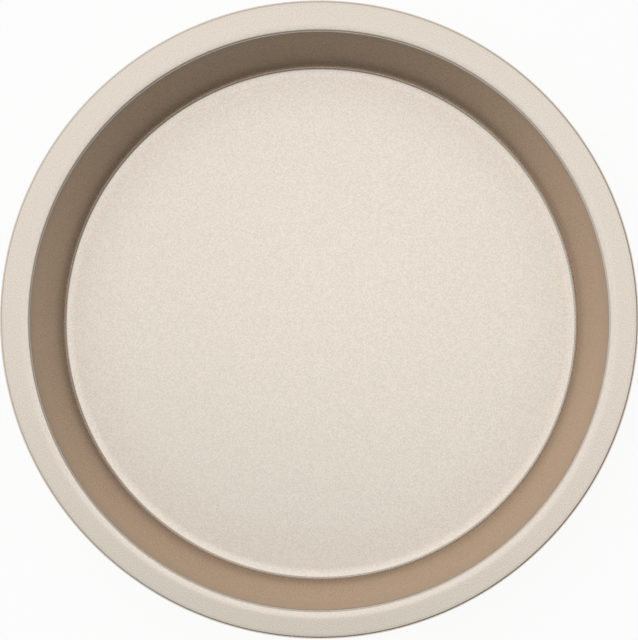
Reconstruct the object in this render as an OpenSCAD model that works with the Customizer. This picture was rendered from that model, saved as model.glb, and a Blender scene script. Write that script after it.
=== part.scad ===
// Round sandwich cake tin, deep drawn from one sheet of coated steel: a flat floor, a rounded
// corner, a tapered wall, a rounded shoulder and a wide rim whose edge is rolled under.
// The origin is the centre of the underside, with +Z up. Sizes are in millimetres and degrees.

/* [Overall] */
// Inside width across the mouth, where the wall and the rim would meet in a sharp corner
mouth_d = 204.5; // [150:0.5:260]
// Height from the table to the top of the shoulder
height = 38; // [28:1:60]
// How far the wall leans out from upright, so that cakes turn out and tins nest
wall_taper = 12.5; // [4:0.5:18]

/* [Sheet] */
// Thickness of the steel with its coating
sheet_t = 0.7; // [0.5:0.05:1]
// Inside radius of the corner between the floor and the wall
corner_r = 1.75; // [1.25:0.25:9]
// Radius over the top of the shoulder between the wall and the rim
shoulder_r = 1.5; // [1.25:0.25:5]

/* [Rim] */
// Width of the rim, from the sharp mouth corner to the outermost edge
rim_w = 10.25; // [8:0.25:18]
// How far the rim slopes down towards its edge
rim_droop = 0; // [0:0.5:8]
// Outside diameter of the rolled edge
curl_d = 2.3; // [2.2:0.1:4.5]
// How far round the edge is rolled, past the slope of the rim
curl_turn = 250; // [120:10:270]

/* [Hidden] */
// Points on each bend of the section
bend_steps = 18;
// Sides of the revolved shape in a preview
round_steps = 180;
champagne = [0.88, 0.84, 0.77];

// Angle of the wall above the floor
wall_rise = 90 - wall_taper;
curl_r = curl_d / 2;
// Length that each bend takes off the straight runs beside it, back to their sharp corner
corner_cut = corner_r * tan(wall_rise / 2);
shoulder_cut = shoulder_r * tan((wall_rise + rim_droop) / 2);
// Height of the sharp mouth corner, which lies a little above the rounded shoulder
mouth_z = height + shoulder_cut * sin(rim_droop) - shoulder_r * (1 - cos(rim_droop));
// Radius at which the wall would meet the floor in a sharp corner
floor_r = mouth_d / 2 - (mouth_z - sheet_t) * tan(wall_taper);
// Straight runs of the upper face, between the bends
floor_run = floor_r - corner_cut;
wall_run = (mouth_z - sheet_t) / cos(wall_taper) - corner_cut - shoulder_cut;
rim_run = (rim_w - curl_r * (1 - sin(rim_droop))) / cos(rim_droop) - shoulder_cut;

// A place on the upper face is [radius, height, heading], and heading 0 runs straight outwards.
function straight(from, run) =
    [from[0] + run * cos(from[2]), from[1] + run * sin(from[2]), from[2]];

// Places along a bend of radius r through an angle: a positive turn rises, a negative one falls
function bend(from, r, turn) =
    let (side = sign(turn))
    [for (i = [1:bend_steps])
        let (heading = from[2] + turn * i / bend_steps)
        [from[0] + side * r * (sin(heading) - sin(from[2])),
         from[1] - side * r * (cos(heading) - cos(from[2])),
         heading]];

function last(places) = places[len(places) - 1];

// The point of the lower face that lies straight through the sheet from a place
function through_sheet(place) =
    [place[0] + sheet_t * sin(place[2]), place[1] - sheet_t * cos(place[2])];

floor_centre = [0, sheet_t, 0];
floor_edge = straight(floor_centre, floor_run);
corner = bend(floor_edge, corner_r, wall_rise);
wall_top = straight(last(corner), wall_run);
shoulder = bend(wall_top, shoulder_r, -(wall_rise + rim_droop));
rim_edge = straight(last(shoulder), rim_run);
curl = bend(rim_edge, curl_r, -curl_turn);
upper_face = concat([floor_centre, floor_edge], corner, [wall_top], shoulder, [rim_edge], curl);

// Section of the sheet from the axis to its cut edge: out along the upper face, back along the lower
module sheet_section() {
    places = len(upper_face);
    polygon(concat(
        [for (place = upper_face) [place[0], place[1]]],
        [for (i = [places - 1:-1:0]) through_sheet(upper_face[i])]));
}

// The whole tin, one sheet turned about its own axis
module cake_tin() {
    color(champagne)
        rotate_extrude($fn = round_steps)
            sheet_section();
}

cake_tin();
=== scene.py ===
"""Sandwich cake tin, seen from straight above on a white table.

The tin is one drawn steel sheet with a pale champagne non-stick coating. It is modelled as one surface of
revolution, worked out from the same named sizes as the CAD part, in millimetres, and set in metres.
"""
import math

import bpy
import numpy as np
from mathutils import Matrix, Vector


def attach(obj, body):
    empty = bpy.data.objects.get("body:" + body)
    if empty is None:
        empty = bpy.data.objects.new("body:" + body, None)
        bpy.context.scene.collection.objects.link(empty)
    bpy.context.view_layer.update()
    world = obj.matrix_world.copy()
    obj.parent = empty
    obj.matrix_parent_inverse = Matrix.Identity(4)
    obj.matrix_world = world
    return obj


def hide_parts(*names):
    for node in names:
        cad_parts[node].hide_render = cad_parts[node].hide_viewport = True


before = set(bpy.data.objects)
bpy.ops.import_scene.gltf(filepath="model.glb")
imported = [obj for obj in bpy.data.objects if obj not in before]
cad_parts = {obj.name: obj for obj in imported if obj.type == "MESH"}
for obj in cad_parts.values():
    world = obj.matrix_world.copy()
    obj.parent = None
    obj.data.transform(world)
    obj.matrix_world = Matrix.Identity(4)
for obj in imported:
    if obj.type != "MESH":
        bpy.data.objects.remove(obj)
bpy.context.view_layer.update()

MM = 0.001

# Sizes of the tin, in millimetres and degrees: diameter of the sharp mouth corner, height, lean of the wall,
# thickness of the sheet, radii of the bends, width of the rim, diameter of the rolled edge and its turn
MOUTH_D = 203.7
HEIGHT = 38.0
WALL_TAPER = 11.4
SHEET = 0.7
CORNER_R = 1.5
SHOULDER_R = 1.3
RIM_W = 10.5
CURL_D = 2.0
CURL_TURN = 250.0
# The floor starts to lift a little before the corner, and the shoulder eases into the rim, as drawn sheet
# does: the turn of each in degrees, and its length in millimetres
LIFT_TURN = 9.0
LIFT_RUN = 3.0
EASE_TURN = 11.0
EASE_RUN = 2.4
# The rim is a little off centre in the photo, as trimming can leave it: all inside it lies this far towards
# +X and -Y, which fades out between two radii on the rim, in millimetres
OFF_CENTRE = (0.09, -0.52)
OFF_CENTRE_FROM = 105.0
OFF_CENTRE_TO = 110.5

# Points of the mesh: sides round the axis, and steps along each run of the section
AROUND = 360
FLOOR_STEPS = 14
LIFT_STEPS = 6
CORNER_STEPS = 16
WALL_STEPS = 8
SHOULDER_STEPS = 16
EASE_STEPS = 8
RIM_STEPS = 6
CURL_STEPS = 30


def linear(hex_colour):
    """Linear RGBA of an sRGB hex colour such as E7DDCE."""
    parts = [int(hex_colour[i:i + 2], 16) / 255 for i in (0, 2, 4)]
    return [p / 12.92 if p <= 0.04045 else ((p + 0.055) / 1.055) ** 2.4 for p in parts] + [1.0]


def straight(path, run, steps):
    """Adds a straight run: equal steps along the heading of the path's last place."""
    r, z, heading = path[-1]
    part = np.linspace(0, run, steps + 1)[1:]
    r = r + part * math.cos(math.radians(heading))
    z = z + part * math.sin(math.radians(heading))
    return np.vstack([path, np.column_stack([r, z, np.full(steps, heading)])])


def bend(path, radius, turn, steps):
    """Adds an arc that is tangent to the path: its heading grows evenly by turn, and a place lies at
    radius times the change of (sin, -cos) of the heading. A positive turn rises, a negative one falls."""
    r, z, heading = path[-1]
    side = math.copysign(radius, turn)
    turned = heading + np.linspace(0, turn, steps + 1)[1:]
    start, angle = math.radians(heading), np.radians(turned)
    r = r + side * (np.sin(angle) - math.sin(start))
    z = z - side * (np.cos(angle) - math.cos(start))
    return np.vstack([path, np.column_stack([r, z, turned])])


def tin_section():
    """Closed section of the sheet as (radius, height), from the axis along the upper face to the cut edge
    and back along the lower face, which lies one sheet's thickness below it, square to its heading."""
    rise = 90 - WALL_TAPER
    taper = math.radians(WALL_TAPER)
    curl_r = CURL_D / 2
    # Both bends are laid out from radius 0 first, to find how far the floor and the wall may run between them
    corner = bend(np.array([[0.0, SHEET, 0.0]]), LIFT_RUN / math.radians(LIFT_TURN), LIFT_TURN, LIFT_STEPS)
    corner = bend(corner, CORNER_R, rise - LIFT_TURN, CORNER_STEPS)
    shoulder = bend(np.array([[0.0, 0.0, rise]]), SHOULDER_R, -(rise - EASE_TURN), SHOULDER_STEPS)
    shoulder = bend(shoulder, EASE_RUN / math.radians(EASE_TURN), -EASE_TURN, EASE_STEPS)
    floor_run = MOUTH_D / 2 - (HEIGHT - corner[-1, 1]) * math.tan(taper) - corner[-1, 0]
    wall_run = (HEIGHT - corner[-1, 1] - shoulder[-1, 1]) / math.cos(taper)
    path = straight(np.array([[0.0, SHEET, 0.0]]), floor_run, FLOOR_STEPS)
    path = np.vstack([path, corner[1:] + [floor_run, 0, 0]])
    path = straight(path, wall_run, WALL_STEPS)
    path = np.vstack([path, shoulder[1:] + [path[-1, 0], path[-1, 1], 0]])
    path = straight(path, MOUTH_D / 2 + RIM_W - curl_r - path[-1, 0], RIM_STEPS)
    path = bend(path, curl_r, -CURL_TURN, CURL_STEPS)
    angle = np.radians(path[:, 2])
    lower = np.column_stack([path[:, 0] + SHEET * np.sin(angle), path[:, 1] - SHEET * np.cos(angle)])
    return np.vstack([path[:, :2], lower[::-1]])


def turned_mesh(name, section, around):
    """Surface of revolution: a place (r, z) of the section goes to (r cos a, r sin a, z) for evenly spaced
    angles a, and then slides sideways by an amount that fades out across the rim. The first and last places
    lie on the axis, and each closes in one point."""
    angle = np.arange(around) * 2 * math.pi / around
    rings = section[1:-1]
    count = len(rings)
    grid = np.empty((count, around, 3))
    grid[..., 0] = rings[:, :1] * np.cos(angle)
    grid[..., 1] = rings[:, :1] * np.sin(angle)
    grid[..., 2] = rings[:, 1:]
    poles = np.array([[0, 0, section[0, 1]], [0, 0, section[-1, 1]]])
    places = np.vstack([grid.reshape(-1, 3), poles])
    fade = np.interp(np.hypot(places[:, 0], places[:, 1]), [OFF_CENTRE_FROM, OFF_CENTRE_TO], [1, 0])
    places[:, :2] += np.outer(fade, OFF_CENTRE)
    places *= MM
    here = np.arange(count * around).reshape(count, around)
    after = np.roll(here, -1, axis=1)
    quads = np.stack([here[:-1], here[1:], after[1:], after[:-1]], -1).reshape(-1, 4)
    top, bottom = count * around, count * around + 1
    first = np.stack([np.full(around, top), here[0], after[0]], -1)
    last = np.stack([np.full(around, bottom), after[-1], here[-1]], -1)
    mesh = bpy.data.meshes.new(name)
    mesh.from_pydata(places.tolist(), [], quads.tolist() + first.tolist() + last.tolist())
    mesh.polygons.foreach_set("use_smooth", np.ones(len(mesh.polygons), bool))
    mesh.update()
    made = bpy.data.objects.new(name, mesh)
    bpy.context.scene.collection.objects.link(made)
    return made


def node(tree, kind, settings=None, inputs=None):
    """Adds a node and applies its settings. An input that is another node's output is linked, and any other
    one is set as the socket's own value."""
    made = tree.nodes.new(kind)
    for key, value in (settings or {}).items():
        setattr(made, key, value)
    for socket, given in (inputs or {}).items():
        if isinstance(given, bpy.types.NodeSocket):
            tree.links.new(given, made.inputs[socket])
        else:
            made.inputs[socket].default_value = given
    return made


def new_tree(owner):
    """The emptied node tree of a material or world."""
    owner.use_nodes = True
    owner.node_tree.nodes.clear()
    return owner.node_tree


# Size of the coating's grain and the height of its relief, in millimetres. Single flakes are too fine to
# show, so the grain is drawn as coarse as it needs to show, and its size was tried out against the photo.
GRAIN = 0.50
GRAIN_RELIEF = 0.003
# Values of the noise that make the darkest and the brightest specks, and the roughness of each
SPECK_RANGE = {"From Min": 0.25, "From Max": 0.75}
SPECK_ROUGHNESS = {"To Min": 0.30, "To Max": 0.26}
# Radii over which a painted shade darkens the colour outwards, for the wall's shade by the corner, in
# millimetres
PAINTED_SHADE_FROM = 72.0
PAINTED_SHADE_TO = 88.0
# Over the shoulder, which drawing stretches most, the coat is a trace rougher: the radius of its middle, the
# distance from it within which that holds fully, the distance at which it has faded out (millimetres), and
# the roughness that is added
STRETCHED_AT = 102.4
STRETCHED_FULLY = 1.0
STRETCHED_OUT = 2.4
STRETCHED_ROUGHER = 0.04


def flake_coating():
    """Baked non-stick coating filled with fine metal flake, sprayed on steel sheet. The flake lies nearly
    flat, so it reflects as a satin pale metal, warmer where light bounces twice, and its spray grain shows as
    fine lighter and darker specks. Its colour is a trace darker towards the outside: a painted shade for
    the shade that the wall casts on the floor near the corner."""
    material = bpy.data.materials.new("flake_nonstick_coating")
    tree = new_tree(material)
    place = node(tree, "ShaderNodeTexCoord").outputs["Object"]
    grain = node(tree, "ShaderNodeTexNoise", {"noise_dimensions": "3D"},
                 {"Scale": 1 / (GRAIN * MM), "Detail": 0.0, "Vector": place}).outputs["Fac"]
    speck = node(tree, "ShaderNodeMapRange", {}, {**SPECK_RANGE, "Value": grain})
    colour = node(tree, "ShaderNodeMix", {"data_type": "RGBA"},
                  {"A": linear("E3DACE"), "B": linear("EDE3D6"), "Factor": speck.outputs["Result"]})
    flat = node(tree, "ShaderNodeVectorMath", {"operation": "MULTIPLY"}, {0: place, 1: (1, 1, 0)})
    radius = node(tree, "ShaderNodeVectorMath", {"operation": "LENGTH"}, {0: flat.outputs["Vector"]})
    # Painted shade: the colour turns a trace darker towards the outside, standing in for the wall's shade
    # near the corner
    painted_shade = node(tree, "ShaderNodeMapRange", {"interpolation_type": "SMOOTHSTEP"},
                   {"From Min": PAINTED_SHADE_FROM * MM, "From Max": PAINTED_SHADE_TO * MM,
                    "Value": radius.outputs["Value"]})
    coat = node(tree, "ShaderNodeMix", {"data_type": "RGBA", "blend_type": "MULTIPLY"},
                {"A": colour.outputs["Result"], "B": linear("FCFBFA"), "Factor": painted_shade.outputs["Result"]})
    rough = node(tree, "ShaderNodeMapRange", {}, {**SPECK_RANGE, **SPECK_ROUGHNESS, "Value": grain})
    aside = node(tree, "ShaderNodeMath", {"operation": "SUBTRACT"},
                 {0: radius.outputs["Value"], 1: STRETCHED_AT * MM})
    distance = node(tree, "ShaderNodeMath", {"operation": "ABSOLUTE"}, {0: aside.outputs[0]})
    rougher = node(tree, "ShaderNodeMapRange", {"interpolation_type": "SMOOTHSTEP"},
                   {"From Min": STRETCHED_OUT * MM, "From Max": STRETCHED_FULLY * MM,
                    "To Max": STRETCHED_ROUGHER, "Value": distance.outputs[0]})
    roughness = node(tree, "ShaderNodeMath", {"operation": "ADD"},
                     {0: rough.outputs["Result"], 1: rougher.outputs["Result"]})
    relief = node(tree, "ShaderNodeBump", {},
                  {"Strength": 1.0, "Distance": GRAIN_RELIEF * MM, "Height": grain})
    surface = node(tree, "ShaderNodeBsdfPrincipled", {},
                   {"Metallic": 1.0, "Specular Tint": linear("E5CBB8"), "Base Color": coat.outputs["Result"],
                    "Roughness": roughness.outputs[0], "Normal": relief.outputs["Normal"]})
    node(tree, "ShaderNodeOutputMaterial", {}, {"Surface": surface.outputs["BSDF"]})
    return material


# How bright the table shows to the camera and in reflections, and how far that covers its own shading
CARD_WHITE = 1.07
CARD_COVER = 0.85


def white_table():
    """Matt white card. It shows white to the camera and in reflections, with a faint shadow of the tin."""
    material = bpy.data.materials.new("matt_white_card")
    tree = new_tree(material)
    card = node(tree, "ShaderNodeBsdfDiffuse", {}, {"Color": linear("E7E7E7")})
    glow = node(tree, "ShaderNodeEmission", {}, {"Color": linear("FFFFFF"), "Strength": CARD_WHITE})
    ray = node(tree, "ShaderNodeLightPath").outputs
    bent = node(tree, "ShaderNodeMath", {"operation": "MAXIMUM"},
                {0: ray["Is Glossy Ray"], 1: ray["Is Transmission Ray"]})
    seen = node(tree, "ShaderNodeMath", {"operation": "MAXIMUM"},
                {0: ray["Is Camera Ray"], 1: bent.outputs[0]})
    share = node(tree, "ShaderNodeMath", {"operation": "MULTIPLY"}, {0: seen.outputs[0], 1: CARD_COVER})
    mix = node(tree, "ShaderNodeMixShader", {},
               {"Fac": share.outputs[0], 1: card.outputs[0], 2: glow.outputs[0]})
    node(tree, "ShaderNodeOutputMaterial", {}, {"Surface": mix.outputs[0]})
    return material


def direction(zenith, azimuth):
    """Unit vector at an angle from straight up and an azimuth from +X towards +Y, in degrees."""
    z, a = math.radians(zenith), math.radians(azimuth)
    return Vector((math.sin(z) * math.cos(a), math.sin(z) * math.sin(a), math.cos(z)))


# The studio as the tin sees it, a dim room with soft patches of light: each lies within an angle of a
# direction, has a soft edge and a strength that is added to the room's
ROOM_STRENGTH = 0.15
PATCHES = [
    # direction's zenith and azimuth, angle to the middle of the edge, width of the edge (degrees), strength
    (168, 141, 113, 30, 0.70),  # white walls all round, highest on the upper left
    (36, 7, 20, 24, 0.18),      # slope of the ceiling, brightest at the top
    (36, 67, 20, 24, 0.37),
    (36, 127, 20, 24, 0.33),
    (36, 187, 20, 24, 0.31),
]


def studio_world():
    """Room light: the strength in a direction is the room's plus that of each patch, which falls off with the
    angle from the middle of the patch, smoothly across the width of its edge."""
    world = bpy.data.worlds.new("studio")
    bpy.context.scene.world = world
    tree = new_tree(world)
    towards = node(tree, "ShaderNodeTexCoord").outputs["Generated"]
    total = ROOM_STRENGTH
    for zenith, azimuth, reach, soft, strength in PATCHES:
        facing = node(tree, "ShaderNodeVectorMath", {"operation": "DOT_PRODUCT"},
                      {0: towards, 1: direction(zenith, azimuth)})
        angle = node(tree, "ShaderNodeMath", {"operation": "ARCCOSINE"}, {0: facing.outputs["Value"]})
        patch = node(tree, "ShaderNodeMapRange", {"interpolation_type": "SMOOTHSTEP"},
                     {"From Min": math.radians(reach + soft / 2), "From Max": math.radians(reach - soft / 2),
                      "To Max": strength, "Value": angle.outputs[0]})
        total = node(tree, "ShaderNodeMath", {"operation": "ADD"},
                     {0: total, 1: patch.outputs["Result"]}).outputs[0]
    room = node(tree, "ShaderNodeBackground", {}, {"Color": linear("FFFFFF"), "Strength": total})
    node(tree, "ShaderNodeOutputWorld", {}, {"Surface": room.outputs[0]})


def softbox(name, zenith, azimuth, distance, half_angle, strength):
    """Round lamp that fills a cone of the given half angle as the tin sees it, and faces the tin. Its power
    is strength times pi squared times the square of its radius, so that its face is as bright as that
    strength."""
    radius = distance * math.tan(math.radians(half_angle))
    data = bpy.data.lights.new(name, "AREA")
    data.shape = "DISK"
    data.size = 2 * radius
    data.energy = strength * math.pi ** 2 * radius ** 2
    lamp = bpy.data.objects.new(name, data)
    lamp.location = direction(zenith, azimuth) * distance
    lamp.rotation_euler = direction(zenith, azimuth).to_track_quat("Z", "Y").to_euler()
    lamp.visible_camera = False
    bpy.context.scene.collection.objects.link(lamp)


tin = turned_mesh("drawn_tin", tin_section(), AROUND)
tin.data.materials.append(flake_coating())
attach(tin, "root")
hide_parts("cake_tin")

# The table, a flat square far wider than the view, with half its width in metres
TABLE_HALF = 5.0
table_mesh = bpy.data.meshes.new("table")
corners = [(-TABLE_HALF, -TABLE_HALF, 0), (TABLE_HALF, -TABLE_HALF, 0), (TABLE_HALF, TABLE_HALF, 0),
           (-TABLE_HALF, TABLE_HALF, 0)]
table_mesh.from_pydata(corners, [], [(0, 1, 2, 3)])
table_mesh.materials.append(white_table())
table = bpy.data.objects.new("table", table_mesh)
bpy.context.scene.collection.objects.link(table)

studio_world()
# Zenith, azimuth, distance in metres, half angle and strength. No two lamps share a distance, because
# lamps in one plane would hide each other in reflections.
softbox("overhead_softbox", 0, 0, 1.8, 29, 0.290)
softbox("overhead_spot", 0, 0, 1.75, 13, 0.140)
softbox("left_softbox", 12, 142, 1.7, 29, 0.208)
softbox("left_spot", 12, 142, 1.65, 13, 0.203)
softbox("right_softbox", 12, 7, 1.6, 21, 0.072)
softbox("right_spot", 12, 7, 1.55, 13, 0.193)

# The camera hangs over the rim, a little below and to the right of the picture's middle. Its view runs to the
# aim, its right is square to the view and to +Y, and its up is square to both, so +Y is up in the picture.
# Heights over the rim, sensor and lens are in millimetres, and the view's far end is in metres.
CAMERA_ABOVE = 750
CAMERA_AT = Vector((9.9, -18.4, HEIGHT + CAMERA_ABOVE)) * MM
CAMERA_AIM = Vector((0.14, -0.55, HEIGHT)) * MM
CAMERA_SENSOR = 36
CAMERA_LENS = 120.1
CAMERA_REACH = 20
view_ahead = (CAMERA_AIM - CAMERA_AT).normalized()
view_right = view_ahead.cross(Vector((0, 1, 0))).normalized()
view_up = view_right.cross(view_ahead)
camera_data = bpy.data.cameras.new("camera")
camera_data.sensor_width = CAMERA_SENSOR
camera_data.lens = CAMERA_LENS
camera_data.clip_end = CAMERA_REACH
camera = bpy.data.objects.new("camera", camera_data)
camera.location = CAMERA_AT
camera.rotation_euler = Matrix((view_right, view_up, -view_ahead)).transposed().to_euler()
bpy.context.scene.collection.objects.link(camera)
bpy.context.scene.camera = camera
bpy.context.scene.view_settings.view_transform = "Standard"
